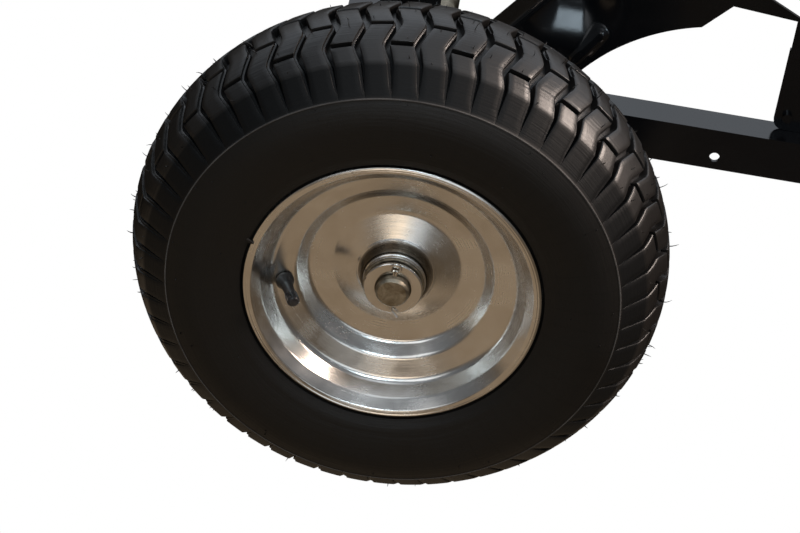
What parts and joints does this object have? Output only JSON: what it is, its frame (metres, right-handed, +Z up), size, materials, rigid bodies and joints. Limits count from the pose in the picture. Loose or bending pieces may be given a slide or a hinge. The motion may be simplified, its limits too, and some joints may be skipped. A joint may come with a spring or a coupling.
{
  "type": "tow behind dump cart",
  "caption": "Tow-behind dump cart: black angle-iron frame with pressed arch gussets, turf tyres on steel rims, tipping steel tub with sliding tailgate, drawbar and pinned hitch clevis.",
  "frame": {"origin": "on the ground under the middle of the cart's overall length and width; the axle is 344.5 mm behind it and 205 mm up", "axes": "+X forward to the hitch, +Y to the cart's left, +Z up"},
  "size_m": [1.697, 1.042, 0.717],
  "materials": {
    "black_paint": "gloss black powder coat on steel",
    "zinc_steel": "bright zinc plate over pressed or drawn steel",
    "dark_steel": "plain steel, lightly oiled and darkened",
    "tyre_rubber": "moulded black rubber",
    "soft_rubber": "soft black rubber",
    "nylon": "black moulded plastic"
  },
  "bodies": {
    "frame": {"axle": "dark_steel", "axle_spacer_right": "black_paint", "axle_spacer_left": "black_paint", "wheel_washer_right": "zinc_steel", "wheel_washer_left": "zinc_steel", "cotter_pin_right": "zinc_steel", "cotter_pin_left": "zinc_steel", "side_rail_right": "black_paint", "side_rail_left": "black_paint", "axle_bracket_right": "black_paint", "axle_bracket_left": "black_paint", "arch_gusset_right": "black_paint", "arch_gusset_left": "black_paint", "upright_right": "black_paint", "upright_left": "black_paint", "pivot_bracket_right": "black_paint", "pivot_bracket_left": "black_paint", "pivot_rod": "zinc_steel", "pivot_retainer_right": "zinc_steel", "pivot_retainer_left": "zinc_steel", "rear_crossmember": "black_paint", "mid_crossmember": "black_paint", "front_crossmember": "black_paint", "drawbar": "black_paint", "hitch_clevis": "black_paint", "latch_bracket": "black_paint", "latch_bolt": "zinc_steel"},
    "wheel_right": {"tyre_right": "tyre_rubber", "rim_outer_half_right": "zinc_steel", "rim_inner_half_right": "zinc_steel", "hub_right": "zinc_steel", "bearing_outer_right": "dark_steel", "bearing_inner_right": "dark_steel", "valve_stem_right": "soft_rubber", "valve_cap_right": "nylon"},
    "wheel_left": {"tyre_left": "tyre_rubber", "rim_outer_half_left": "zinc_steel", "rim_inner_half_left": "zinc_steel", "hub_left": "zinc_steel", "bearing_outer_left": "dark_steel", "bearing_inner_left": "dark_steel", "valve_stem_left": "soft_rubber", "valve_cap_left": "nylon"},
    "tub": {"tub": "black_paint", "tub_channel_front": "black_paint", "tub_channel_rear": "black_paint", "hinge_ear_right": "black_paint", "hinge_ear_left": "black_paint", "gate_channel_right": "black_paint", "gate_channel_left": "black_paint", "latch_striker": "zinc_steel"},
    "tailgate": {"tailgate": "black_paint"},
    "latch": {"latch_lever": "zinc_steel", "latch_grip": "soft_rubber", "latch_spring": "dark_steel"},
    "hitch_pin": {"hitch_pin": "zinc_steel"},
    "hairpin": {"hairpin_clip": "zinc_steel"}
  },
  "joints": [
    {"name": "wheel_right_spin", "type": "hinge", "parent": "frame", "child": "wheel_right", "pos_m": [-0.3445, -0.45, 0.205], "axis": [0, 1, 0], "continuous": true},
    {"name": "wheel_left_spin", "type": "hinge", "parent": "frame", "child": "wheel_left", "pos_m": [-0.3445, 0.45, 0.205], "axis": [0, 1, 0], "continuous": true},
    {"name": "tub_dump", "type": "hinge", "parent": "frame", "child": "tub", "pos_m": [-0.3695, 0, 0.355], "axis": [0, -1, 0], "range_deg": [0, 50]},
    {"name": "tailgate_lift", "type": "slide", "parent": "tub", "child": "tailgate", "axis": [0, 0, 1], "range_m": [0, 0.3]},
    {"name": "latch_swing", "type": "hinge", "parent": "frame", "child": "latch", "pos_m": [0.2675, 0, 0.318], "axis": [0, 1, 0], "range_deg": [-20, 0]},
    {"name": "hitch_pin_lift", "type": "slide", "parent": "frame", "child": "hitch_pin", "axis": [0, 0, 1], "range_m": [0, 0.004]},
    {"name": "hairpin_pull", "type": "slide", "parent": "hitch_pin", "child": "hairpin", "axis": [0, 1, 0], "range_m": [0, 0.045]}
  ]
}
